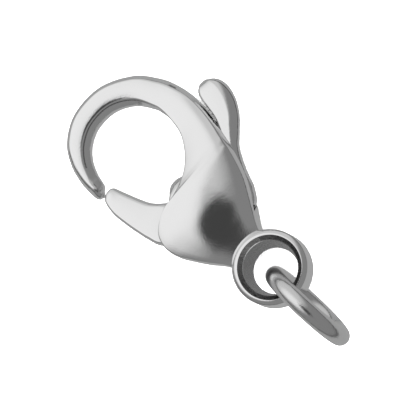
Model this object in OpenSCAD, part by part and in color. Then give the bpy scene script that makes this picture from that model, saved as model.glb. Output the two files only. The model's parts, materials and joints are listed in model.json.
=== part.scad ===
/* [Clasp] */
// Distance from the centre of the eye to the centre of the hook's mouth
reach = 9.27; // [7:0.05:14]
// Outer radius of the hook
hook_r = 4.0; // [3.6:0.05:5]
// Radius of the mouth inside the hook
mouth_r = 2.45; // [2:0.05:2.7]
// Depth of the hook, front to back
hook_depth = 1.3; // [1:0.05:2]
// Width of the body across its cheeks
body_w = 5.8; // [5.2:0.1:7]
// Depth of the body over the crowns of its two cheeks
body_depth = 3.0; // [2.8:0.05:5]
// Depth of the body at the rim of its cheeks
rim_depth = 2.3; // [2.1:0.05:3]
// Depth of the carved bevel along the inner edge of the hook
bevel = 0.4; // [0.1:0.01:0.5]
// Break of the cheeks' sharp edges
edge_break = 0.03; // [0.01:0.01:0.1]

/* [Eye] */
// Outside diameter of the eye
eye_d = 4.1; // [3.6:0.05:6]
// Bore of the eye at its narrow end, near the back
eye_bore = 2.4; // [2.3:0.05:2.6]
// How much wider the bore is near the front
eye_taper = 0.3; // [0.2:0.05:0.5]
// Offset of the bore from the eye's centre, away from the body
bore_shift = 0.1; // [0:0.01:0.15]
// Depth of the eye, front to back
eye_depth = 2.0; // [1.5:0.05:2.2]
// Width of the lip round the bore's front mouth
eye_lip = 0.25; // [0.1:0.01:0.3]
// Radius at which each face of the eye stands highest
eye_crest = 1.6; // [1.5:0.05:1.8]
// How far each face of the eye falls from there to the outer wall
eye_drop = 0.27; // [0.1:0.01:0.4]
// Half the angle that each face of the eye turns through from its crest to the outer wall
eye_swell = 20; // [5:1:30]

/* [Lever] */
// Thickness of the lever's plate
lever_t = 1.0; // [0.6:0.05:1.2]
// Radius of the round hub that the pin goes through
hub_r = 1.4; // [1.2:0.05:1.5]
// Radius of the thumb knob
knob_r = 0.86; // [0.7:0.01:1.2]
// Running gap between the lever and each cheek
side_gap = 0.06; // [0.04:0.01:0.12]
// Gap between the closed lever and the hook, at the nose and at the knob
stop_gap = 0.06; // [0.04:0.01:0.12]

/* [Pin] */
// Diameter of the pivot pin
pin_d = 0.8; // [0.6:0.05:1]
// Gap all round the pin in the lever
pin_run = 0.03; // [0.02:0.01:0.06]
// Gap all round the pin in the cheeks
pin_fit = 0.01; // [0.01:0.005:0.02]
// Metal left over the pin's blind end in the front cheek
pin_cover = 0.4; // [0.25:0.05:0.6]

/* [Jump ring] */
// Outside diameter of the jump ring
ring_d = 5.6; // [5.4:0.05:8]
// Diameter of the jump ring's wire
wire_d = 1.0; // [0.6:0.05:1]
// Width of the saw cut that the ring was opened at
ring_cut = 0.06; // [0.03:0.01:0.2]
// Room between the jump ring and the outer wall of the bore, at mid depth
ring_play = 0.36; // [0.3:0.01:0.5]
// Offset of the jump ring to the gate's side
ring_side = 0.22; // [0:0.02:0.3]
// Turn of the jump ring off the clasp's long axis, in degrees
ring_turn = -3; // [-5:0.5:5]
// Lean of the jump ring's top to the gate's side, in degrees
ring_lean = 1.5; // [0:0.5:4]
// Place of the saw cut round the ring, in degrees from its far side over the top
ring_cut_at = 225; // [200:5:330]

/* [Hidden] */
$fn = 96;

mouth = [reach, 0];
pivot = [0.582 * reach, -0.052 * body_w];
slot_w = lever_t + 2 * side_gap;
ring_r = (ring_d - wire_d) / 2;
pin_r = pin_d / 2;
// How far the lever's deep roundings are flattened to a slope, from 0 for none
flatten = 0.7;
// Centre of the jump ring, seen from the front
ring_x = -bore_shift - eye_bore / 2 - ring_r + wire_d / 2 + ring_play;
ring_y = ring_side;
// Centre of the thumb knob, which stands off the outside of the hook's bend
knob = polar(mouth, -102.1, hook_r * 1.028 + knob_r + stop_gap);
// Point of the hook's back rim that touches down when the clasp lies at rest
foot = polar(mouth, -18, 0.98 * hook_r);
foot_x = foot[0] - ring_x;
foot_z = 0.97 * hook_depth / 2;
// Roll about the long axis and pitch down to the hook, as it lies, in degrees
rest_roll = 3.75;
rest_pitch = asin((ring_d / 2 + sin(rest_roll) * (foot[1] - ring_y)) / norm([foot_x, foot_z]))
  - atan(foot_z / foot_x);
// Middle of the whole thing as it lies, measured from the jump ring's centre
mid = [(cos(rest_pitch) * (reach + 1.033 * hook_r - ring_x) - ring_d / 2) / 2,
  (knob[1] - 0.86 * knob_r + 0.813 * hook_r) / 2 - ring_y + 0.44 * body_depth * sin(rest_roll)];

// Sections of the body from the neck to the shoulder, in columns:
// place along the reach, back edge and front edge as shares of the body's width,
// rim height and crown height as shares of the body's half depths,
// bulge of the back wall as a share of the bevel,
// rise of the back rim over the front rim as a share of the rim depth
body_rows = [
  [0.165, -0.185, 0.219, 0.45, 0.40, 0.2, 0.03],
  [0.215, -0.235, 0.258, 0.58, 0.52, 0.5, 0.04],
  [0.294, -0.335, 0.342, 0.73, 0.69, 0.8, 0.06],
  [0.373, -0.425, 0.413, 0.81, 0.84, 0.7, 0.08],
  [0.452, -0.500, 0.472, 0.85, 0.93, 0.6, 0.09],
  [0.536, -0.555, 0.481, 0.92, 0.98, 0.5, 0.09],
  [0.615, -0.600, 0.411, 0.99, 1.00, 0.5, 0.08]
];

// Sections of the bend and the hook, turned about the mouth, in columns:
// angle and radius of the outer edge, angle and radius of the inner edge,
// rim height and crown height as shares of the hook's half depth,
// bulge of the outer wall and depth of the inner bevel as shares of the bevel,
// rise of the outer rim over the inner rim as a share of the hook's depth
hook_rows = [
  [-132.6, 1.209, -204, 1.382, 1.85, 2.24, 0.5, 0.1, 0.10],
  [-129.8, 1.181, -190, 1.250, 1.82, 2.19, 0.5, 0.1, 0.10],
  [-126.8, 1.156, -174, 1.160, 1.77, 2.13, 0.5, 0.1, 0.11],
  [-121.2, 1.119, -156, 1.080, 1.69, 1.97, 0.5, 0.1, 0.13],
  [-112.8, 1.077, -136, 1.018, 1.54, 1.70, 0.5, 0.1, 0.14],
  [-102, 1.045, -114, 0.995, 1.35, 1.43, 0.5, 0.1, 0.11],
  [-89.6, 1.030, -92, 0.990, 1.18, 1.23, 0.6, 0.1, 0.06],
  [-77, 1.024, -78, 0.998, 1.07, 1.12, 0.7, 0.3, 0.02],
  [-64, 1.024, -68, 1.010, 1.00, 1.07, 0.7, 0.4, 0],
  [-44, 1.036, -44, 1.045, 0.97, 1.03, 0.6, 0.8, 0],
  [-18, 1.040, -18, 1.070, 0.97, 1.02, 0.6, 1.0, 0],
  [8, 1.027, 8, 1.077, 0.97, 1.01, 0.6, 1.0, 0],
  [30, 0.990, 30, 1.065, 0.96, 1.00, 0.6, 1.0, 0],
  [48, 0.925, 48, 1.038, 0.95, 0.99, 0.6, 1.0, 0],
  [64, 0.864, 64, 1.010, 0.94, 0.98, 0.6, 1.0, 0],
  [76, 0.829, 73, 0.997, 0.92, 0.96, 0.6, 1.0, 0],
  [84.5, 0.812, 79.5, 1.004, 0.85, 0.88, 0.7, 0.9, 0],
  [88.5, 0.786, 83.0, 1.033, 0.65, 0.67, 0.7, 0.7, 0],
  [89.5, 0.751, 85.5, 1.083, 0.40, 0.42, 0.3, 0.3, 0]
];

// Lever sections from the nose to the root of the gate, from the mouth's centre, in columns:
// inner edge x and y, outer edge x and y as shares of the mouth's radius,
// rim and crown as shares of the lever's half thickness,
// rounding of the outer and of the inner edge as shares of the thickness
gate_rows = [
  [0.000, 1.045, 0.001, 1.100, 0.45, 0.50, 0.04, 0.04],
  [0.001, 0.985, -0.037, 1.190, 0.70, 0.78, 0.12, 0.14],
  [-0.051, 0.920, -0.159, 1.268, 0.86, 0.96, 0.16, 0.20],
  [-0.236, 0.862, -0.430, 1.320, 0.90, 0.96, 0.16, 0.24],
  [-0.568, 0.755, -0.770, 1.310, 0.90, 0.96, 0.16, 0.24],
  [-0.836, 0.653, -1.097, 1.278, 0.90, 0.96, 0.16, 0.24],
  [-1.052, 0.490, -1.353, 1.241, 0.90, 0.96, 0.16, 0.24]
];

// Lever sections past the hub, turned about the pivot, in columns:
// angle and radius of the inner edge, angle and radius of the outer edge
// as shares of the hub's radius, rim and crown, the two roundings
hub_rows = [
  [45, 1.12, 93, 2.24, 0.90, 0.94, 0.16, 0.40],
  [22, 1.17, 118, 1.75, 0.90, 0.94, 0.16, 0.60],
  [4, 1.13, 150, 1.38, 0.90, 0.94, 0.16, 0.60],
  [-20, 1.02, 186, 1.56, 0.90, 0.94, 0.16, 0.60],
  [-42, 1.04, 211, 2.14, 0.90, 0.94, 0.20, 0.50],
  [-58, 1.28, 229, 2.13, 0.90, 0.92, 0.30, 0.30],
  [-68, 1.70, 248, 2.06, 0.92, 0.93, 0.40, 0.14],
  [-71.5, 2.12, 265, 2.24, 0.96, 0.96, 0.50, 0.12]
];

// Thumb arm sections from the knob's centre, in columns:
// inner edge x and y, outer edge x and y as shares of the knob's radius, rim and crown, the two roundings
thumb_rows = [
  [-1.94, 1.71, -3.07, 1.34, 1.00, 1.00, 0.60, 0.12],
  [-1.53, 1.39, -2.50, 0.71, 1.04, 1.04, 0.66, 0.12],
  [-0.89, 1.08, -1.87, 0.04, 1.08, 1.08, 0.72, 0.12],
  [-0.25, 0.94, -1.12, -0.51, 1.10, 1.11, 0.76, 0.14],
  [0.27, 0.85, -0.42, -0.80, 1.10, 1.12, 0.72, 0.16],
  [0.71, 0.72, 0.22, -0.88, 1.05, 1.07, 0.60, 0.18],
  [1.00, 0.53, 0.71, -0.71, 0.90, 0.91, 0.40, 0.20],
  [1.12, 0.30, 1.02, -0.42, 0.60, 0.61, 0.18, 0.14]
];

function polar(c, a, r) = [c[0] + r * cos(a), c[1] + r * sin(a)];

// Point at place s along a smooth curve through the rows
function smooth_at(rows, s) =
  let (n = len(rows) - 1, i = min(floor(s), n - 1), t = s - i,
       a = rows[max(i - 1, 0)], b = rows[i], c = rows[i + 1], d = rows[min(i + 2, n)])
  0.5 * (2 * b + (c - a) * t + (2 * a - 5 * b + 4 * c - d) * t * t
    + (3 * b - a - 3 * c + d) * t * t * t);

// Lean and height of an edge rounded to a depth, from the middle plane up to the rim at share k,
// flatter the deeper it is
function rounded(depth, rim, k) =
  let (power = 2 / (2 - flatten * depth / lever_t))
  [depth * (1 - pow(cos(90 * k), power)), rim * pow(sin(90 * k), power)];

// One closed section in an upright plane from the outer edge to the inner edge.
// row: outer x y, inner x y, rim height, crown height, bulge or rounding of the outer wall,
// cut or rounding of the inner wall, rise of the outer rim and fall of the inner rim.
// soft: whether both edges are rounded over.
// Crisp ones have a bulged outer wall, and an inner wall cut back above half its height
function section(row, soft, wall_n, face_n) =
  let (o = [row[0], row[1]], i = [row[2], row[3]], w = norm(i - o), dir = (i - o) / w,
       rim = row[4], crown = row[5], ob = row[6], ib = row[7], rise = row[8],
       outer = [for (k = [0:wall_n]) let (z = k / wall_n)
         soft ? rounded(ob, rim, z) : [ob * z * z, (rim + rise) * z]],
       face = [for (j = [1:face_n - 1]) let (t = j / face_n)
         [ob + (w - ob - ib) * t, rim + rise * (1 - 2 * t) + (crown - rim) * 4 * t * (1 - t)]],
       inner = [for (k = [wall_n:-1:0]) let (z = k / wall_n, p = rounded(ib, rim, z))
         soft ? [w - p[0], p[1]] : [w - ib * max(0, 2 * z - 1), (rim - rise) * z]],
       upper = concat(outer, face, inner),
       n = len(upper))
  concat([for (p = upper) [o[0] + dir[0] * p[0], o[1] + dir[1] * p[0], p[1]]],
    [for (k = [n - 2:-1:1]) let (p = upper[k])
      [o[0] + dir[0] * p[0], o[1] + dir[1] * p[0], -p[1]]]);

// Solid through a list of sections that all have the same number of points
module loft(sections) {
  m = len(sections);
  n = len(sections[0]);
  sides = [for (i = [0:m - 2]) for (j = [0:n - 1]) let (k = (j + 1) % n)
    each [[i * n + j, i * n + k, (i + 1) * n + k], [i * n + j, (i + 1) * n + k, (i + 1) * n + j]]];
  first = [for (j = [n - 1:-1:0]) j];
  last = [for (j = [0:n - 1]) (m - 1) * n + j];
  polyhedron([for (s = sections) each s], concat(sides, [first, last]));
}

// The same rows taken at a finer step, along the smooth curve through them
function resample(rows, step) =
  let (n = floor((len(rows) - 1) / step + 0.5)) [for (k = [0:n]) smooth_at(rows, k * (len(rows) - 1) / n)];

body_sections = concat(
  [for (r = body_rows) [r[0] * reach, r[1] * body_w, r[0] * reach, r[2] * body_w,
    r[3] * rim_depth / 2, r[4] * body_depth / 2, r[5] * bevel, edge_break, r[6] * rim_depth / 2]],
  [for (r = hook_rows) let (o = polar(mouth, r[0], r[1] * hook_r), i = polar(mouth, r[2], r[3] * mouth_r))
    [o[0], o[1], i[0], i[1], r[4] * hook_depth / 2, r[5] * hook_depth / 2, r[6] * bevel, r[7] * bevel,
      r[8] * hook_depth / 2]]);

// Rim, crown and the two roundings of a lever section, in a table that has them from column 4
function lever_shape(r) = [r[4] * lever_t / 2, r[5] * lever_t / 2, r[6] * lever_t, r[7] * lever_t, 0];

lever_sections = concat(
  [for (r = gate_rows) concat([mouth[0] + r[2] * mouth_r, mouth[1] + r[3] * mouth_r,
    mouth[0] + r[0] * mouth_r, mouth[1] + r[1] * mouth_r], lever_shape(r))],
  [for (r = hub_rows) concat(polar(pivot, r[2], r[3] * hub_r), polar(pivot, r[0], r[1] * hub_r), lever_shape(r))],
  [for (r = thumb_rows) concat([knob[0] + r[2] * knob_r, knob[1] + r[3] * knob_r,
    knob[0] + r[0] * knob_r, knob[1] + r[1] * knob_r], lever_shape(r))]);

// Outline of the slot between the cheeks, open to the gate side, the mouth and the back
slot_outline = [
  [0.50 * reach, 1.0 * body_w], [0.50 * reach, 0.46 * body_w],
  [0.40 * reach, 0.33 * body_w], [0.33 * reach, 0.20 * body_w],
  [0.265 * reach, 0.06 * body_w], [0.238 * reach, -0.05 * body_w],
  [0.226 * reach, -0.20 * body_w], [0.226 * reach, -1.0 * body_w],
  [0.80 * reach, -1.0 * body_w], [0.80 * reach, -0.66 * body_w],
  [0.725 * reach, -0.61 * body_w], [0.70 * reach, -0.54 * body_w],
  [0.692 * reach, -0.44 * body_w], [0.70 * reach, -0.31 * body_w],
  [0.724 * reach, -0.225 * body_w], [0.75 * reach, -0.13 * body_w],
  [0.77 * reach, -0.02 * body_w], [0.90 * reach, 0.08 * body_w],
  [1.0 * reach, 1.0 * body_w]
];

// Bore of the eye, drafted wider to the front, with a lip at each mouth
module eye_hole() {
  h = eye_depth / 2;
  r = eye_bore / 2;
  front_r = r + eye_taper / 2;
  translate([-bore_shift, 0]) rotate_extrude()
    polygon([[0, -2 * h], [r + 0.6 * eye_lip, -2 * h], [r + 0.6 * eye_lip, -h], [r, 0.6 * eye_lip - h],
      [front_r, h - 1.1 * eye_lip], [front_r + eye_lip, h], [front_r + eye_lip, 2 * h], [0, 2 * h]]);
}

// Points on the circle through a and b that turns by an angle on either side of its chord
function bowed(a, b, turn, n) =
  let (c = b - a, r = norm(c) / 2 / sin(turn), m = (a + b) / 2 - r * cos(turn) * [c[1], -c[0]] / norm(c),
       start = atan2(a[1] - m[1], a[0] - m[0]))
  [for (k = [0:n]) m + r * [cos(start + 2 * turn * k / n), sin(start + 2 * turn * k / n)]];

// The eye without its bore, with both faces falling from a crest to the outer wall
module eye_ring() {
  h = eye_depth / 2;
  face = bowed([eye_d / 2, h - eye_drop], [eye_crest, h], eye_swell, 4);
  rotate_extrude() polygon(concat([for (p = face) p], [[0, h], [0, -h]],
    [for (k = [len(face) - 1:-1:0]) [face[k][0], -face[k][1]]]));
}

module pin_at_pivot(r, low, high) {
  translate([pivot[0], pivot[1], low]) cylinder(r = r, h = high - low);
}

// Turns the clasp from its flat frame to how it lies: the jump ring stands and props up the eye,
// and the end of the hook touches down at foot
module lie_down() {
  translate([-mid[0], -mid[1], 0.998 * ring_d / 2]) rotate([rest_roll, 0, 0]) rotate([0, rest_pitch, 0])
    translate([-ring_x, -ring_y, 0]) children();
}

module clasp_body() {
  color("silver") lie_down() difference() {
    union() {
      loft([for (r = resample(body_sections, 0.5)) section(r, false, 4, 8)]);
      eye_ring();
    }
    eye_hole();
    linear_extrude(height = slot_w, center = true) polygon(slot_outline);
    pin_at_pivot(pin_r + pin_fit, -body_depth, body_depth / 2 - pin_cover);
  }
}

module lever() {
  color("gainsboro") lie_down() difference() {
    union() {
      loft([for (r = resample(lever_sections, 0.5)) section(r, true, 3, 4)]);
      pin_at_pivot(0.7 * hub_r, -lever_t / 2, lever_t / 2);
    }
    pin_at_pivot(pin_r + pin_run, -lever_t, lever_t);
  }
}

module pivot_pin() {
  color("silver") lie_down()
    pin_at_pivot(pin_r, -0.95 * body_depth / 2, body_depth / 2 - pin_cover - pin_fit);
}

module jump_ring() {
  gap_angle = ring_cut / ring_r * 180 / PI;
  color("lightgray") lie_down() translate([ring_x, ring_y, 0])
    rotate([-ring_lean, 0, ring_turn]) rotate([90, -ring_cut_at, 0])
    rotate_extrude(angle = 360 - gap_angle) translate([ring_r, 0]) circle(wire_d / 2);
}

clasp_body();
lever();
pivot_pin();
jump_ring();
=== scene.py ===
# Lobster clasp of polished cast silver with its jump ring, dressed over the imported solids
import json
from math import cos, pi, radians, sin

import bpy
import numpy as np
from mathutils import Matrix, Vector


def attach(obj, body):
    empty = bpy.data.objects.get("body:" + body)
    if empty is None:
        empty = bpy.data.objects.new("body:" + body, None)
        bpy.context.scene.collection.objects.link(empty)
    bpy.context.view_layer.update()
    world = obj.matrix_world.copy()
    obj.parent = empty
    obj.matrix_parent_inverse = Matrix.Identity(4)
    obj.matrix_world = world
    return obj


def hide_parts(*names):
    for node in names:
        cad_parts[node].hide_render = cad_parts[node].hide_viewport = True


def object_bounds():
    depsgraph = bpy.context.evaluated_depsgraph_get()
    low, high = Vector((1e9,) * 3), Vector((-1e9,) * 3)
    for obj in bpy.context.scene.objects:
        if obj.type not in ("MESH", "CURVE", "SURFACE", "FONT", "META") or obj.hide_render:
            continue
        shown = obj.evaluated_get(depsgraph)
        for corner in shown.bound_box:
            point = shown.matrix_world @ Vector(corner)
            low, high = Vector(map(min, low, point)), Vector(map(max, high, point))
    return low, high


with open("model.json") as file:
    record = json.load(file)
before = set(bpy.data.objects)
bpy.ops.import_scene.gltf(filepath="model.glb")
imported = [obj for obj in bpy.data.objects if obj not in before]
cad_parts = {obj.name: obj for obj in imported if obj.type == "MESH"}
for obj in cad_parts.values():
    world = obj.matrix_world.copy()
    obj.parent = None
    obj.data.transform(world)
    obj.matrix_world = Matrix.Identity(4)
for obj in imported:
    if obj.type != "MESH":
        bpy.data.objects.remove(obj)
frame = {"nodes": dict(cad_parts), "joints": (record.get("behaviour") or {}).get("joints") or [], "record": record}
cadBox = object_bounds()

mm = 0.001  # every size below is in millimetres
record = frame["record"]
print("frame loaded:", ", ".join(sorted(frame["nodes"])))


# Where things are: the clasp is drawn flat, from the eye's centre ahead to the mouth's, and then laid down

claspSizes = {
    "reach": 9.27,        # eye's centre to mouth's centre
    "bodyWidth": 5.8,
    "bodyDepth": 3.0,     # over the crowns of the cheeks
    "rimDepth": 2.3,      # at the rim of the cheeks
    "hookRadius": 4.0,
    "mouthRadius": 2.45,
    "hookDepth": 1.3,
    "bevel": 0.4,         # carved along the hook's inner edge
    "edgeBreak": 0.03,    # inner edge of the neck and cheeks, where there is no bevel
    "slotWidth": 1.12,
    "pivotAlong": 0.582,  # in reaches
    "pivotBack": 0.052,   # behind the centre line, in body widths
}
mouth = np.array([claspSizes["reach"], 0.0])
pivot = np.array([claspSizes["pivotAlong"] * claspSizes["reach"],
                  -claspSizes["pivotBack"] * claspSizes["bodyWidth"]])


def flatToFrame():
    # the turn that carries the flat drawing's pivot, mouth and upright onto the frame's hinge and mouth mount
    joint = frame["joints"][0]
    mount = next(m for m in record["mounts"] if m["name"] == "hook_mouth")
    along = (mouth - pivot) / np.linalg.norm(mouth - pivot)
    flat = np.array([[along[0], along[1], 0], [-along[1], along[0], 0], [0, 0, 1]])
    up = -np.array(joint["axis"], float)
    up /= np.linalg.norm(up)
    ahead = np.array(mount["pos_m"]) - joint["pos_m"]
    ahead -= up * (ahead @ up)
    ahead /= np.linalg.norm(ahead)
    laid = np.array([ahead, np.cross(up, ahead), up])
    return laid.T @ flat, np.array(joint["pos_m"])


turn, hinge = flatToFrame()


def lieDown(points):
    # flat millimetres to frame metres: measured from the pivot, turned, and set on the hinge
    flat = np.asarray(points, float) - [pivot[0], pivot[1], 0]
    return flat @ turn.T * mm + hinge


# Surface tools

def polar(centre, angle, radius):
    # a point at an angle and a distance from a centre, for whole columns at once
    return np.stack([centre[0] + radius * np.cos(np.radians(angle)),
                     centre[1] + radius * np.sin(np.radians(angle))], -1)


def throughRows(rows, steps):
    # a smooth curve through the rows, each stretch the cubic whose slope at a row
    # is half the way from the row before to the row after
    rows = np.asarray(rows, float)
    padded = np.concatenate([rows[:1], rows, rows[-1:]])
    a, b, c, d = (padded[k:len(rows) - 1 + k, None] for k in range(4))
    t = np.linspace(0, 1, steps, endpoint=False)[None, :, None]
    curve = 0.5 * (2 * b + (c - a) * t + (2 * a - 5 * b + 4 * c - d) * t ** 2
                   + (3 * b - a - 3 * c + d) * t ** 3)
    return np.concatenate([curve.reshape(-1, rows.shape[1]), rows[-1:]])


def corner(before, tip, after, count):
    # a rounded corner: the quadratic curve from `before` to `after` that leans on `tip`
    t = np.linspace(0, 1, count)[None, :, None]
    return (1 - t) ** 2 * before[:, None] + 2 * t * (1 - t) * tip[:, None] + t ** 2 * after[:, None]


def span(start, end, count):
    # straight run between two points of each section, without its ends
    t = np.linspace(0, 1, count + 2)[1:-1][None, :, None]
    return (1 - t) * start[:, None] + t * end[:, None]


def closeSections(rows, upper):
    # puts each half profile (run from the outer edge, height) into its upright plane,
    # and closes it with its mirror image below the clasp's middle plane
    outer, inner = rows[:, 0:2], rows[:, 2:4]
    width = np.linalg.norm(inner - outer, axis=1, keepdims=True)
    ahead = (inner - outer) / width
    run, height = upper[..., 0], upper[..., 1]
    flat = outer[:, None] + ahead[:, None] * run[..., None]
    top = np.concatenate([flat, height[..., None]], -1)
    low = top[:, -2:0:-1] * [1, 1, -1]
    return np.concatenate([top, low], 1)


def domedEnd(end, before, reach, count):
    # sections that round off a tube's end: the last one shrinks by the cosine as it moves on by the sine
    angle = np.linspace(0, pi / 2, count + 1)[1:-1, None, None]
    centre = end.mean(0)
    ahead = centre - before.mean(0)
    ahead /= np.linalg.norm(ahead)
    return centre + (end - centre) * np.cos(angle) + ahead * reach * np.sin(angle)


def gridFaces(rows, columns):
    # quads between neighbouring sections, each section closed on itself
    i, j = np.meshgrid(np.arange(rows - 1), np.arange(columns), indexing="ij")
    k = (j + 1) % columns
    quads = np.stack([i * columns + j, i * columns + k, (i + 1) * columns + k, (i + 1) * columns + j], -1)
    return quads.reshape(-1, 4)


def makePiece(name, points, faces):
    # mesh from whole arrays: corners at once, then the faces' loops at once
    mesh = bpy.data.meshes.new(name)
    corners = np.concatenate([np.asarray(f, int).ravel() for f in faces])
    sizes = np.concatenate([np.full(len(f), np.shape(f)[1]) for f in faces])
    mesh.vertices.add(len(points))
    mesh.vertices.foreach_set("co", np.asarray(points, np.float32).ravel())
    mesh.loops.add(len(corners))
    mesh.loops.foreach_set("vertex_index", corners.astype(np.int32))
    mesh.polygons.add(len(sizes))
    mesh.polygons.foreach_set("loop_start", np.concatenate([[0], np.cumsum(sizes)[:-1]]).astype(np.int32))
    mesh.update(calc_edges=True)
    mesh.validate()
    piece = bpy.data.objects.new(name, mesh)
    bpy.context.scene.collection.objects.link(piece)
    return piece


def tubePiece(name, sections):
    # closed sections, one after another, with a fan to a middle point over each end
    count, around = sections.shape[:2]
    points = sections.reshape(-1, 3)
    ends = np.array([sections[0].mean(0), sections[-1].mean(0)])
    j = np.arange(around)
    k = (j + 1) % around
    first = np.stack([j, k, np.full(around, len(points))], -1)
    shift = (count - 1) * around
    last = np.stack([k + shift, j + shift, np.full(around, len(points) + 1)], -1)
    return makePiece(name, lieDown(np.concatenate([points, ends])),
                     [gridFaces(count, around)[:, ::-1], first, last])


def combine(piece, others, operation):
    # exact cut or join of closed pieces, kept as a plain mesh
    for other in others:
        change = piece.modifiers.new("join", "BOOLEAN")
        change.object, change.operation, change.solver = other, operation, "MANIFOLD"
        graph = bpy.context.evaluated_depsgraph_get()
        mesh = bpy.data.meshes.new_from_object(piece.evaluated_get(graph))
        piece.modifiers.clear()
        piece.data = mesh
        bpy.data.objects.remove(other)
    return piece


def smoothFaces(piece, angle):
    # smooth shading, broken only where two faces meet at more than the angle
    mesh = piece.data
    mesh.polygons.foreach_set("use_smooth", np.ones(len(mesh.polygons), bool))
    mesh.set_sharp_from_angle(angle=radians(angle))


# Clasp body: neck, cheeks and hook in one loft, with the turned eye, cut by the bore, the slot and the pin

bodyLook = {
    "steps": 14,          # sections between two rows
    "wall": 6,            # points up each side wall
    "face": 22,           # points across the front face
    "faceBias": 1.5,      # above 1 they crowd to the back rim, where the face rolls
    "bevelRun": 4,        # points down the bevel
    "round": 4,           # points round each edge
    "edge": 0.07,         # radius of the polished edges
    "edgeShare": 0.2,     # its limit in rim heights, for the thin tip
    "bevelLow": 0.5,      # share of the rim height where the inner bevel starts
    "tipDome": 0.10,
    "domeSteps": 5,
    "roll": 0.15,         # how far the face rolls down to its back rim, where the casting is thick
    "rollFrom": 0.60,     # it sets in where the rim is this high, and is whole rollSpan further up
    "rollSpan": 0.36,
    "rollRun": 0.80,      # how far in from the back rim it reaches
    "smooth": 35,         # degrees between two faces that still shade as one
}
# place along the reach, back edge and front edge in body widths, rim and crown in half depths,
# bulge of the back wall in bevels, tilt: how far the back rim stands above the rim height
# and the front rim below it, in half depths
bodyRows = np.array([
    [0.165, -0.185, 0.219, 0.45, 0.40, 0.2, 0.03],
    [0.215, -0.235, 0.258, 0.58, 0.52, 0.5, 0.04],
    [0.294, -0.335, 0.342, 0.73, 0.69, 0.8, 0.06],
    [0.373, -0.425, 0.413, 0.81, 0.84, 0.7, 0.08],
    [0.452, -0.500, 0.472, 0.85, 0.93, 0.6, 0.09],
    [0.536, -0.555, 0.481, 0.92, 0.98, 0.5, 0.09],
    [0.615, -0.600, 0.411, 0.99, 1.00, 0.5, 0.08],
])
# outer edge's angle and radius, inner edge's angle and radius, rim and crown in half hook depths,
# bulge of the outer wall and depth of the inner bevel in bevels, tilt in half hook depths
hookRows = np.array([
    [-132.6, 1.209, -204, 1.382, 1.93, 2.22, 0.5, 0.1, -0.01],
    [-129.8, 1.181, -190, 1.250, 1.95, 2.14, 0.5, 0.1, -0.03],
    [-126.8, 1.156, -174, 1.160, 1.91, 2.04, 0.5, 0.1, -0.03],
    [-121.2, 1.119, -156, 1.080, 1.80, 1.91, 0.5, 0.1, 0.01],
    [-112.8, 1.077, -136, 1.018, 1.61, 1.71, 0.5, 0.1, 0.05],
    [-102, 1.045, -114, 0.995, 1.38, 1.46, 0.5, 0.1, 0.07],
    [-89.6, 1.030, -92, 0.990, 1.19, 1.23, 0.6, 0.1, 0.04],
    [-77, 1.024, -78, 0.998, 1.07, 1.12, 0.7, 0.3, 0.02],
    [-64, 1.024, -68, 1.010, 1.00, 1.07, 0.7, 0.4, 0],
    [-44, 1.036, -44, 1.045, 0.97, 1.03, 0.6, 0.8, 0],
    [-18, 1.040, -18, 1.070, 0.97, 1.02, 0.6, 1.0, 0],
    [8, 1.027, 8, 1.077, 0.97, 1.01, 0.6, 1.0, 0],
    [30, 0.990, 30, 1.065, 0.96, 1.00, 0.6, 1.0, 0],
    [48, 0.925, 48, 1.038, 0.95, 0.99, 0.6, 1.0, 0],
    [64, 0.864, 64, 1.010, 0.94, 0.98, 0.6, 1.0, 0],
    [76, 0.829, 73, 0.997, 0.92, 0.96, 0.6, 1.0, 0],
    [84.5, 0.812, 79.5, 1.004, 0.85, 0.88, 0.7, 0.9, 0],
    [88.5, 0.786, 83.0, 1.033, 0.65, 0.67, 0.7, 0.7, 0],
    [89.5, 0.751, 85.5, 1.083, 0.40, 0.42, 0.3, 0.3, 0],
])


def bodySectionRows():
    # both tables as one: outer x y, inner x y, rim and crown heights, outer bulge, inner bevel, tilt
    s = claspSizes
    neck = np.stack([
        bodyRows[:, 0] * s["reach"], bodyRows[:, 1] * s["bodyWidth"],
        bodyRows[:, 0] * s["reach"], bodyRows[:, 2] * s["bodyWidth"],
        bodyRows[:, 3] * s["rimDepth"] / 2, bodyRows[:, 4] * s["bodyDepth"] / 2,
        bodyRows[:, 5] * s["bevel"], np.full(len(bodyRows), s["edgeBreak"]),
        bodyRows[:, 6] * s["rimDepth"] / 2], -1)
    outer = polar(mouth, hookRows[:, 0], hookRows[:, 1] * s["hookRadius"])
    inner = polar(mouth, hookRows[:, 2], hookRows[:, 3] * s["mouthRadius"])
    hook = np.concatenate([outer, inner, hookRows[:, 4:6] * s["hookDepth"] / 2,
                           hookRows[:, 6:8] * s["bevel"], hookRows[:, 8:9] * s["hookDepth"] / 2], 1)
    return np.concatenate([neck, hook])


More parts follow.
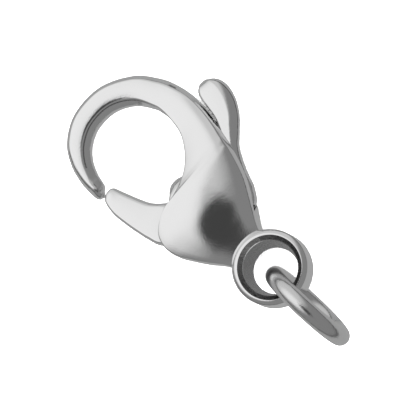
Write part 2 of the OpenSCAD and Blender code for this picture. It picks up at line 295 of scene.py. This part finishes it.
def bodyProfile(rows, look):
    # half profile of each section: outer wall bulged by the square of the height, rounded rim,
    # face crowned as a parabola 4t(1-t) over the line between its rims and rolled down by the cube of
    # the distance left to the back rim, rounded rim, slanted bevel, rounded, inner wall
    rim, crown, bulge, bevel, tilt = rows[:, 4:9].T
    thick = np.clip((rim - look["rollFrom"]) / look["rollSpan"], 0, 1)
    roll = look["roll"] * thick ** 2 * (3 - 2 * thick)
    back, front = rim + tilt - roll, rim - tilt
    width = np.linalg.norm(rows[:, 2:4] - rows[:, 0:2], axis=1)
    edge = np.minimum(look["edge"], look["edgeShare"] * rim)
    low = look["bevelLow"] * front
    faceWidth = width - bulge - bevel
    # slopes of the face at its two rims
    rise, fall = (4 * (crown - rim) + np.outer([-2, 2], tilt)) / faceWidth
    rise = rise + 3 * roll / look["rollRun"]

    def at(run, height):  # a point of each section
        return np.stack([run, height], -1)

    wallTop = back - edge
    share = np.linspace(0, 1, look["wall"] + 1)[:-1]
    wallHeight = wallTop[:, None] * share
    wall = np.stack([bulge[:, None] * (wallHeight / back[:, None]) ** 2, wallHeight], -1)
    rimRound = corner(at(bulge * (wallTop / back) ** 2, wallTop), at(bulge, back),
                      at(bulge + edge, back + rise * edge), look["round"])
    first = (edge / faceWidth)[:, None]
    t = first + (1 - 2 * first) * np.linspace(0, 1, look["face"] + 2)[1:-1] ** look["faceBias"]
    rolled = roll[:, None] * np.clip(1 - faceWidth[:, None] * t / look["rollRun"], 0, 1) ** 3
    chord = (rim + tilt)[:, None] - 2 * tilt[:, None] * t
    face = np.stack([bulge[:, None] + faceWidth[:, None] * t,
                     chord + (crown - rim)[:, None] * 4 * t * (1 - t) - rolled], -1)
    slant = np.hypot(bevel, front - low)
    down = np.stack([bevel, low - front], -1) / slant[:, None]
    topTip = at(width - bevel, front)
    topRound = corner(at(width - bevel - edge, front + fall * edge), topTip,
                      topTip + down * edge[:, None], look["round"])
    lowTip = at(width, low)
    lowRound = corner(lowTip - down * edge[:, None], lowTip, at(width, low - edge), look["round"])
    bevelFace = span(topTip + down * edge[:, None], lowTip - down * edge[:, None], look["bevelRun"])
    innerWall = np.stack([np.broadcast_to(width[:, None], (len(width), look["wall"])),
                          (low - edge)[:, None] * (1 - np.linspace(0, 1, look["wall"] + 1)[1:])], -1)
    return np.concatenate([wall, rimRound, face, topRound, bevelFace, lowRound, innerWall], 1)


def makeClaspBody():
    # the smoothed rows' sections in one tube: its flat end stays inside the eye, the hook's tip is domed
    rows = throughRows(bodySectionRows(), bodyLook["steps"])
    sections = closeSections(rows, bodyProfile(rows, bodyLook))
    tip = domedEnd(sections[-1], sections[-2], bodyLook["tipDome"], bodyLook["domeSteps"])
    return tubePiece("claspBody", np.concatenate([sections, tip]))


claspBody = makeClaspBody()
print("clasp body lofted:", len(claspBody.data.polygons), "faces")


# Eye: a turned ring with rounded edges, bored with a taper and a countersunk lip

eye = {
    "diameter": 4.0,
    "bore": 2.4,          # at its narrow end, near the back
    "taper": 0.5,         # how much wider the bore is near the front
    "boreShift": 0.04,    # away from the body
    "depth": 2.1,
    "lip": 0.25,          # width of the countersink round the bore's front
    "lipDepth": 1.1,      # its depth in its own widths
    "backLip": 0.6,       # break of the bore's back edge, in front lips
    "step": 0.03,         # fine ledge where the countersink meets the bore
    "crest": 1.76,        # radius where each face is highest
    "drop": 0.2,          # how far each face falls from its crest to the outer wall
    "swell": 20,          # degrees that a face turns on either side of its chord
    "edge": 0.06,         # rounding between face and wall
    "around": 192,
    "faceSteps": 14,
    "edgeSteps": 6,
}


def spinSolid(name, profile, centre, around):
    # a profile of radius and height, from the axis to the axis, spun round an upright axis:
    # x = r cos a, y = r sin a, with a point of its own at each end
    profile = np.asarray(profile, float)
    angle = np.linspace(0, 2 * pi, around, endpoint=False)[None]
    radius, height = profile[1:-1, 0:1], profile[1:-1, 1:2]
    rings = np.stack([centre[0] + radius * np.cos(angle), centre[1] + radius * np.sin(angle),
                      np.broadcast_to(height, (len(height), around))], -1)
    points = rings.reshape(-1, 3)
    ends = [[*centre, profile[0, 1]], [*centre, profile[-1, 1]]]
    j = np.arange(around)
    k = (j + 1) % around
    shift = len(points) - around
    first = np.stack([k, j, np.full(around, len(points))], -1)
    last = np.stack([j + shift, k + shift, np.full(around, len(points) + 1)], -1)
    return makePiece(name, lieDown(np.concatenate([points, ends])),
                     [gridFaces(len(radius), around), first, last])


def makeEye():
    # half profile from the wall: straight up, a small rounded edge, the face as an arc up to its crest,
    # then level to the axis, where the bore takes the middle away
    half, radius = eye["depth"] / 2, eye["diameter"] / 2
    shoulder, crest = np.array([radius, half - eye["drop"]]), np.array([eye["crest"], half])
    chord = crest - shoulder
    outward = np.array([chord[1], -chord[0]]) / np.linalg.norm(chord)
    bend = np.linalg.norm(chord) / 2 / sin(radians(eye["swell"]))
    middle = (shoulder + crest) / 2 - bend * cos(radians(eye["swell"])) * outward
    lean = np.degrees(np.arctan2(outward[1], outward[0]))
    face = polar(middle, np.linspace(lean - eye["swell"], lean + eye["swell"], eye["faceSteps"]), bend)
    rounded = corner((shoulder - [0, eye["edge"]])[None], shoulder[None], face[1:2], eye["edgeSteps"])[0]
    level = [[share * crest[0], half] for share in (0.7, 0.35, 0)]
    front = np.concatenate([[[radius, 0]], rounded, face[2:], level])
    return spinSolid("eye", np.concatenate([front[:0:-1] * [1, -1], front]), [0, 0], eye["around"])


def makeBoreTool():
    # half profile from below: the broken back edge, the bore widening upwards, the ledge and the countersink
    half, narrow, lip, step = eye["depth"] / 2, eye["bore"] / 2, eye["lip"], eye["step"]
    wide = narrow + eye["taper"] / 2
    backLip, ledge = eye["backLip"] * lip, half - eye["lipDepth"] * lip
    profile = [[0, -2 * half], [narrow + backLip, -2 * half], [narrow + backLip, -half],
               [narrow, backLip - half], [wide, ledge - 2 * step / 3], [wide + step, ledge + step / 3],
               [wide + lip, half], [wide + lip, 2 * half], [0, 2 * half]]
    return spinSolid("boreTool", profile, [-eye["boreShift"], 0], eye["around"])


# outline of the slot between the cheeks, in reaches and body widths: its end follows the heel of the lever
slotOutline = np.array([
    [0.50, 1.0], [0.50, 0.46], [0.40, 0.33], [0.33, 0.20], [0.265, 0.06], [0.247, -0.02],
    [0.246, -0.10], [0.256, -0.192], [0.276, -0.282], [0.305, -0.363], [0.331, -0.415], [0.331, -1.0],
    [0.80, -1.0], [0.80, -0.66], [0.725, -0.61], [0.70, -0.54], [0.692, -0.44],
    [0.70, -0.31], [0.724, -0.225], [0.75, -0.13], [0.77, -0.02], [0.90, 0.08], [1.0, 1.0],
])


def prism(name, outline, low, high):
    # an outline raised from one height to another, with one face over each end
    outline = np.asarray(outline, float)
    n = len(outline)
    points = np.concatenate([np.c_[outline, np.full(n, low)], np.c_[outline, np.full(n, high)]])
    j = np.arange(n)
    k = (j + 1) % n
    area = np.sum(outline[:, 0] * np.roll(outline[:, 1], -1) - np.roll(outline[:, 0], -1) * outline[:, 1])
    sides = np.stack([j, k, k + n, j + n], -1)
    ends = np.array([j[::-1], j + n])
    if area < 0:
        sides, ends = sides[:, ::-1], ends[:, ::-1]
    return makePiece(name, lieDown(points), [sides, ends])


pin = {
    "diameter": 0.8,
    "fit": 0.01,          # gap all round it in the cheeks
    "run": 0.03,          # gap all round it in the lever
    "cover": 0.4,         # metal left over its blind end
    "around": 96,
}


def makePinTool(radius, low, high):
    # an upright cylinder on the pivot
    angle = np.linspace(0, 360, pin["around"], endpoint=False)
    return prism("pinTool", polar(pivot, angle, radius), low, high)


def cutClaspBody():
    # the eye goes on, then the bore, the slot and the pin's blind hole come out
    size = claspSizes
    slot = prism("slotTool", slotOutline * [size["reach"], size["bodyWidth"]],
                 -size["slotWidth"] / 2, size["slotWidth"] / 2)
    pinHole = makePinTool(pin["diameter"] / 2 + pin["fit"],
                          -size["bodyDepth"], size["bodyDepth"] / 2 - pin["cover"])
    combine(claspBody, [makeEye()], "UNION")
    combine(claspBody, [makeBoreTool(), slot, pinHole], "DIFFERENCE")
    smoothFaces(claspBody, bodyLook["smooth"])


cutClaspBody()
print("eye joined, bore, slot and pin hole cut:", len(claspBody.data.polygons), "faces")


# Lever: gate, hub and thumb arm in one loft

leverLook = {
    "thickness": 1.0,
    "hubRadius": 1.4,
    "hubCore": 0.7,       # radius of the plain core round the pin, in hub radii
    "knobRadius": 0.86,
    "knobAngle": -102.1,  # where the knob stands round the mouth
    "knobStand": 1.028,   # the hook's outside there, in hook radii
    "stopGap": 0.06,      # between the shut lever and the hook
    "flatten": 0.7,       # how far the deep roundings are flattened to a slope, from 0 for none
    "steps": 14,          # sections between two rows
    "wall": 9,            # points up each side
    "face": 16,           # points across the face
    "noseDome": 0.05,
    "knobDome": 0.08,
    "domeSteps": 6,
    "smooth": 35,         # degrees between two faces that still shade as one
}
knob = polar(mouth, leverLook["knobAngle"], claspSizes["hookRadius"] * leverLook["knobStand"]
             + leverLook["knobRadius"] + leverLook["stopGap"])
# inner x y and outer x y from the mouth's centre in mouth radii, rim and crown in half thicknesses,
# rounding of the outer and the inner edge in thicknesses
gateRows = np.array([
    [0.000, 1.030, 0.001, 1.100, 0.45, 0.50, 0.04, 0.04],
    [0.001, 0.955, -0.037, 1.198, 0.70, 0.78, 0.12, 0.14],
    [-0.051, 0.890, -0.159, 1.278, 0.86, 0.96, 0.16, 0.20],
    [-0.236, 0.835, -0.430, 1.333, 0.90, 0.96, 0.16, 0.24],
    [-0.568, 0.735, -0.770, 1.323, 0.90, 0.96, 0.16, 0.24],
    [-0.836, 0.635, -1.097, 1.290, 0.90, 0.96, 0.16, 0.24],
    [-1.052, 0.475, -1.353, 1.250, 0.90, 0.96, 0.16, 0.24],
])
# inner edge's angle and radius, outer edge's angle and radius about the pivot in hub radii,
# rim, crown and the two roundings
hubRows = np.array([
    [45, 1.12, 93, 2.24, 0.90, 0.94, 0.16, 0.40],
    [22, 1.17, 118, 1.75, 0.90, 0.94, 0.16, 0.60],
    [4, 1.13, 150, 1.38, 0.90, 0.94, 0.16, 0.60],
    [-20, 1.02, 186, 1.56, 0.90, 0.94, 0.16, 0.60],
    [-42, 1.04, 211, 2.14, 0.90, 0.94, 0.20, 0.50],
    [-58, 1.28, 229, 2.13, 0.90, 0.92, 0.30, 0.30],
    [-68, 1.70, 248, 2.06, 0.92, 0.93, 0.40, 0.14],
    [-71.5, 2.12, 265, 2.24, 0.96, 0.96, 0.50, 0.12],
])
# inner x y and outer x y from the knob's centre in knob radii, rim, crown and the two roundings
thumbRows = np.array([
    [-1.94, 1.71, -3.07, 1.34, 1.00, 1.00, 0.45, 0.12],
    [-1.53, 1.39, -2.52, 0.68, 1.04, 1.04, 0.48, 0.12],
    [-0.89, 1.08, -1.90, -0.02, 1.08, 1.08, 0.52, 0.12],
    [-0.25, 0.94, -1.15, -0.57, 1.10, 1.11, 0.54, 0.14],
    [0.27, 0.85, -0.44, -0.86, 1.10, 1.12, 0.52, 0.16],
    [0.71, 0.72, 0.22, -0.92, 1.05, 1.07, 0.45, 0.18],
    [1.00, 0.53, 0.72, -0.74, 0.90, 0.91, 0.32, 0.20],
    [1.12, 0.30, 1.03, -0.42, 0.60, 0.61, 0.18, 0.14],
])


def leverSectionRows():
    # the three tables as one: outer x y, inner x y, rim and crown heights, outer and inner rounding
    look, mouthR = leverLook, claspSizes["mouthRadius"]

    def rows(outer, inner, table):
        return np.concatenate([outer, inner, table[:, 4:6] * look["thickness"] / 2,
                               table[:, 6:8] * look["thickness"]], 1)

    gate = rows(mouth + gateRows[:, 2:4] * mouthR, mouth + gateRows[:, 0:2] * mouthR, gateRows)
    hub = rows(polar(pivot, hubRows[:, 2], hubRows[:, 3] * look["hubRadius"]),
               polar(pivot, hubRows[:, 0], hubRows[:, 1] * look["hubRadius"]), hubRows)
    thumb = rows(knob + thumbRows[:, 2:4] * look["knobRadius"],
                 knob + thumbRows[:, 0:2] * look["knobRadius"], thumbRows)
    return np.concatenate([gate, hub, thumb])


def leverProfile(rows, look):
    # half profile: each side a quarter of a superellipse as deep as its rounding and as high as the rim,
    # flatter the deeper it is, with a face crowned as a parabola between them
    rim, crown, outerSoft, innerSoft = rows[:, 4:8].T
    width = np.linalg.norm(rows[:, 2:4] - rows[:, 0:2], axis=1)
    angle = np.linspace(0, pi / 2, look["wall"] + 1)

    def side(soft):
        power = 2 / (2 - look["flatten"] * soft / look["thickness"])[:, None]
        return soft[:, None] * (1 - np.cos(angle) ** power), rim[:, None] * np.sin(angle) ** power

    lean, rise = side(outerSoft)
    outer = np.stack([lean, rise], -1)
    lean, rise = side(innerSoft)
    inner = np.stack([width[:, None] - lean[:, ::-1], rise[:, ::-1]], -1)
    t = np.linspace(0, 1, look["face"] + 2)[1:-1]
    faceWidth = (width - outerSoft - innerSoft)[:, None]
    face = np.stack([outerSoft[:, None] + faceWidth * t,
                     rim[:, None] + (crown - rim)[:, None] * 4 * t * (1 - t)], -1)
    return np.concatenate([outer, face, inner], 1)


def makeLever():
    # the smoothed rows' sections in one tube, domed at the nose and the knob; the hub gets a plain core
    # round the pin, and the core is bored
    look = leverLook
    rows = throughRows(leverSectionRows(), look["steps"])
    sections = closeSections(rows, leverProfile(rows, look))
    nose = domedEnd(sections[0], sections[1], look["noseDome"], look["domeSteps"])[::-1]
    tip = domedEnd(sections[-1], sections[-2], look["knobDome"], look["domeSteps"])
    piece = tubePiece("gateLever", np.concatenate([nose, sections, tip]))
    half = look["thickness"] / 2
    combine(piece, [makePinTool(look["hubCore"] * look["hubRadius"], -half, half)], "UNION")
    combine(piece, [makePinTool(pin["diameter"] / 2 + pin["run"], -2 * half, 2 * half)], "DIFFERENCE")
    smoothFaces(piece, look["smooth"])
    return piece


lever = makeLever()
print("lever lofted and bored:", len(lever.data.polygons), "faces")


# Jump ring: round wire bent to a circle and sawn once

ring = {
    "diameter": 5.6,
    "wire": 1.0,
    "cut": 0.06,          # width of the saw cut
    "cutAt": 225.0,       # degrees round the ring, from its far side over the top
    "play": 0.36,         # room between the ring and the bore's outer wall
    "side": 0.27,         # offset to the gate's side
    "turn": -3.0,         # degrees off the clasp's long axis
    "lean": 1.5,          # degrees that its top leans to the gate's side
    "around": 320,
    "wireAround": 72,
    "smooth": 50,
}


def makeJumpRing():
    # centre line on a circle of radius R and wire of radius r round it:
    # x = (R + r cos b) cos a, y = r sin b, z = -(R + r cos b) sin a
    wire = ring["wire"] / 2
    middle = ring["diameter"] / 2 - wire
    gap = ring["cut"] / middle
    a = -radians(ring["cutAt"]) + np.linspace(0, 2 * pi - gap, ring["around"])[:, None]
    b = np.linspace(0, 2 * pi, ring["wireAround"], endpoint=False)[None]
    out = middle + wire * np.cos(b)
    tube = np.stack([out * np.cos(a), wire * np.sin(b) * np.ones_like(a), -out * np.sin(a)], -1)
    lean = np.array(Matrix.Rotation(radians(-ring["lean"]), 3, "X"))
    swing = np.array(Matrix.Rotation(radians(ring["turn"]), 3, "Z"))
    centreX = -eye["boreShift"] - eye["bore"] / 2 - middle + wire + ring["play"]
    return tubePiece("jumpRing", tube @ (swing @ lean).T + [centreX, ring["side"], 0])


jumpRing = makeJumpRing()
smoothFaces(jumpRing, ring["smooth"])
print("jump ring bent:", len(jumpRing.data.polygons), "faces")


# Materials

def toLinear(code):
    # an sRGB hex colour as linear red, green, blue and full alpha
    value = np.array([int(code[i:i + 2], 16) for i in (1, 3, 5)]) / 255
    linear = np.where(value <= 0.04045, value / 12.92, ((value + 0.055) / 1.055) ** 2.4)
    return (*linear.tolist(), 1.0)


def addNode(tree, kind, settings=None, links=None):
    # one node with its socket values and its incoming links
    node = tree.nodes.new(kind)
    for key, value in (settings or {}).items():
        if key in node.inputs:
            node.inputs[key].default_value = value
        else:
            setattr(node, key, value)
    for key, source in (links or {}).items():
        tree.links.new(source, node.inputs[key])
    return node


def newMaterial(name):
    material = bpy.data.materials.new(name)
    material.use_nodes = True
    material.node_tree.nodes.clear()
    return material, material.node_tree


def surfaceGrain(tree, look):
    # the skin's height, from the point in millimetres: a fine grain, and over it a faint waviness;
    # gives the grain itself, mostly 0.35 to 0.65, and the bumped normal
    place = addNode(tree, "ShaderNodeTexCoord").outputs["Object"]
    inMm = addNode(tree, "ShaderNodeVectorMath", {"operation": "SCALE", "Scale": 1 / mm}, {"Vector": place})
    grain = addNode(tree, "ShaderNodeTexNoise", {
        "Scale": look["grainScale"], "Detail": 3.0, "Roughness": 0.6}, {"Vector": inMm.outputs["Vector"]})
    wave = addNode(tree, "ShaderNodeTexNoise", {
        "Scale": look["waveScale"], "Detail": 1.0}, {"Vector": inMm.outputs["Vector"]})
    fine = addNode(tree, "ShaderNodeBump", {"Strength": 1.0, "Distance": look["grainHeight"] * mm},
                   {"Height": grain.outputs["Fac"]})
    both = addNode(tree, "ShaderNodeBump", {"Strength": 1.0, "Distance": look["waveHeight"] * mm},
                   {"Height": wave.outputs["Fac"], "Normal": fine.outputs["Normal"]})
    return grain.outputs["Fac"], both.outputs["Normal"]


def silverSkin(name, look):
    # sterling silver with its grain; the roughness follows the grain between its two ends
    material, tree = newMaterial(name)
    grain, normal = surfaceGrain(tree, look)
    rough = addNode(tree, "ShaderNodeMapRange", {
        "From Min": 0.35, "From Max": 0.65, "To Min": look["roughness"][0], "To Max": look["roughness"][1]},
        {"Value": grain})
    shader = addNode(tree, "ShaderNodeBsdfPrincipled", {
        "Base Color": toLinear(look["tint"]), "Metallic": 1.0},
        {"Roughness": rough.outputs["Result"], "Normal": normal})
    addNode(tree, "ShaderNodeOutputMaterial", None, {"Surface": shader.outputs["BSDF"]})
    return material


# the scales are grains and waves to the millimetre, the heights millimetres; the grain of buffed and of drawn
# silver is really 0.02 to 0.03 mm, too fine to show, and is drawn as 0.07 and 0.1 mm
# buffed bright: a clear reflection whose edges break up in the fine grain left by the casting
buffedLook = {"tint": "#F4F4F4", "roughness": (0.06, 0.10), "grainScale": 14.0, "grainHeight": 0.0032,
              "waveScale": 0.9, "waveHeight": 0.006}
# as cast, where the buff doesn't reach: duller, with a coarse skin, and greyer as painted shade: the grey tint
# stands in for the shade in the bore and between the slot's cheeks
asCastShadeLook = {"tint": "#979797", "roughness": (0.22, 0.38), "grainScale": 7.0, "grainHeight": 0.010,
              "waveScale": 2.5, "waveHeight": 0.02}
# drawn wire, only tumbled: the reflections run soft over a fine grain
tumbledLook = {"tint": "#EDEDED", "roughness": (0.15, 0.24), "grainScale": 10.0, "grainHeight": 0.005,
               "waveScale": 1.2, "waveHeight": 0.01}

castSilver = silverSkin("castSilver", buffedLook)
drawnSilver = silverSkin("drawnSilver", tumbledLook)
# the as-cast finish: really rougher and coarser, and its grey tint is painted shade for the bore and the slot
asCastShadeSilver = silverSkin("asCastShadeSilver", asCastShadeLook)
for piece, finish in ((claspBody, castSilver), (lever, castSilver), (jumpRing, drawnSilver)):
    piece.data.materials.clear()
    piece.data.materials.append(finish)
# second slot: the as-cast finish, painted shade in the bore and the slot
claspBody.data.materials.append(asCastShadeSilver)


def shadeBoreAsCast():
    # the duller as-cast finish, whose grey tint is painted shade, goes on the bore and its lips, which are the
    # faces no further from the bore's axis than its wall (wider up the countersink), and on the faces that lie as
    # high as the slot's two cheeks
    mesh, hair = claspBody.data, 0.01
    centre = np.empty(len(mesh.polygons) * 3)
    mesh.polygons.foreach_get("center", centre)
    x, y, height = ((centre.reshape(-1, 3) - hinge) / mm @ turn + [pivot[0], pivot[1], 0]).T
    half, wide = eye["depth"] / 2, (eye["bore"] + eye["taper"]) / 2
    wall = wide + np.clip(height - half + eye["lipDepth"] * eye["lip"], 0, None) / eye["lipDepth"]
    inBore = (np.hypot(x + eye["boreShift"], y) < wall + hair) & (np.abs(height) < half - hair)
    inSlot = (x > eye["diameter"] / 2) & (np.abs(np.abs(height) - claspSizes["slotWidth"] / 2) < hair)
    mesh.polygons.foreach_set("material_index", (inBore | inSlot).astype(int))


shadeBoreAsCast()
pinNode = frame["nodes"]["pivot_pin"]
pinNode.material_slots[0].material = castSilver

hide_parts("clasp_body")
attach(claspBody, "body")
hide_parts("lever")
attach(lever, "lever")
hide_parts("jump_ring")
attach(jumpRing, "body")
print("pieces dressed")


# Camera: a long lens, seen by its own three axes in the flat drawing

cameraLook = {
    "back": [-0.2163, -0.0517, 0.975],   # from the clasp to the camera
    "up": [0.6564, -0.7544, 0.0],        # up in the picture
    "aim": [5.286, -0.243, 0.0],         # millimetres on the flat drawing
    "width": 20.73,                      # millimetres across the picture
    "distance": 450.0,
    "sensor": 36.0,
}


def cameraAxes():
    # right, up and back of the camera in the frame, square to one another
    back = turn @ np.array(cameraLook["back"])
    back /= np.linalg.norm(back)
    up = turn @ np.array(cameraLook["up"])
    up -= back * (up @ back)
    up /= np.linalg.norm(up)
    return np.cross(up, back), up, back


def makeCamera():
    look = cameraLook
    right, up, back = cameraAxes()
    place = lieDown([look["aim"]])[0] + back * look["distance"] * mm
    lens = bpy.data.cameras.new("camera")
    lens.sensor_width = look["sensor"]
    lens.lens = look["sensor"] * look["distance"] / look["width"]
    lens.clip_start, lens.clip_end = 0.01, 10
    camera = bpy.data.objects.new("camera", lens)
    camera.matrix_world = Matrix([*np.stack([right, up, back, place], -1).tolist(), [0, 0, 0, 1]])
    bpy.context.scene.collection.objects.link(camera)
    bpy.context.scene.camera = camera


makeCamera()


# Studio: a light tent with a bright side and a white card, the dark round opening for the lens,
# and below it the grey table with a dark gap round it, all as round patches laid over one another

studio = {
    # level of light, centre as the picture's compass angle and degrees off the lens, radius and soft edge
    "walls": 0.225,
    "side": {"level": 0.60, "compass": 125, "off": 70, "radius": 58, "soft": 11},
    "card": {"level": 0.88, "compass": 171, "off": 42, "radius": 28, "soft": 19},
    "gap": {"level": 0.05, "compass": 0, "off": 180, "radius": 87, "soft": 2},
    "table": {"level": 0.38, "compass": 0, "off": 180, "radius": 79, "soft": 3},
    "lens": {"level": 0.055, "compass": 240, "off": 8.8, "radius": 17.0, "soft": 2.0},
    "floor": "#F6F6F6",
    "floorRoughness": 0.9,
    "floorHalf": 1000.0,                 # half its width in millimetres
    "floorLight": 14.0,                  # a wide overhead light for the floor alone
    "floorSoft": 100,                    # degrees across
}


def inTent(patch):
    # a direction in the frame from its compass angle in the picture and its angle off the lens
    right, up, back = cameraAxes()
    off, compass = radians(patch["off"]), radians(patch["compass"])
    return sin(off) * (cos(compass) * right + sin(compass) * up) + cos(off) * back


def makeTent():
    # the world's light: each patch is laid over what is behind it by how near the direction is to its centre
    world = bpy.data.worlds.new("studio")
    bpy.context.scene.world = world
    world.use_nodes = True
    tree = world.node_tree
    tree.nodes.clear()
    looking = addNode(tree, "ShaderNodeTexCoord").outputs["Generated"]
    level = None
    for name in ("side", "card", "gap", "table", "lens"):
        patch = studio[name]
        dot = addNode(tree, "ShaderNodeVectorMath", {"operation": "DOT_PRODUCT"}, {0: looking})
        dot.inputs[1].default_value = inTent(patch)
        share = addNode(tree, "ShaderNodeMapRange", {
            "interpolation_type": "SMOOTHSTEP",
            "From Min": cos(radians(patch["radius"] + patch["soft"])),
            "From Max": cos(radians(max(patch["radius"] - patch["soft"], 0))),
        }, {"Value": dot.outputs["Value"]})
        mix = addNode(tree, "ShaderNodeMix", {"data_type": "FLOAT"}, {"Factor": share.outputs["Result"]})
        if level is None:
            mix.inputs["A"].default_value = studio["walls"]
        else:
            tree.links.new(level, mix.inputs["A"])
        mix.inputs["B"].default_value = patch["level"]
        level = mix.outputs["Result"]
    tent = addNode(tree, "ShaderNodeBackground", {"Color": (1.0, 1.0, 1.0, 1.0)}, {"Strength": level})
    addNode(tree, "ShaderNodeOutputWorld", None, {"Surface": tent.outputs["Background"]})


def makeFloor():
    # a wide pale square under the clasp, whitened by an overhead light
    sun = bpy.data.lights.new("overhead", "SUN")
    sun.energy, sun.angle = studio["floorLight"], radians(studio["floorSoft"])
    overhead = bpy.data.objects.new("overhead", sun)
    overhead.visible_glossy = False  # the metal doesn't mirror it
    bpy.context.scene.collection.objects.link(overhead)

    half = studio["floorHalf"] * mm
    low = cadBox[0][2]
    mesh = bpy.data.meshes.new("floor")
    mesh.from_pydata([(x * half, y * half, low) for x, y in ((-1, -1), (1, -1), (1, 1), (-1, 1))],
                     [], [(0, 1, 2, 3)])
    floor = bpy.data.objects.new("floor", mesh)
    bpy.context.scene.collection.objects.link(floor)
    floor.visible_glossy = False  # the metal sees the grey tent below it, as it does over a clear table
    material, tree = newMaterial("paleFloor")
    shader = addNode(tree, "ShaderNodeBsdfPrincipled", {
        "Base Color": toLinear(studio["floor"]), "Roughness": studio["floorRoughness"],
        "Specular IOR Level": 0.0})
    addNode(tree, "ShaderNodeOutputMaterial", None, {"Surface": shader.outputs["BSDF"]})
    mesh.materials.append(material)


makeTent()
makeFloor()
bpy.context.scene.view_settings.view_transform = "Standard"
print("stage set")
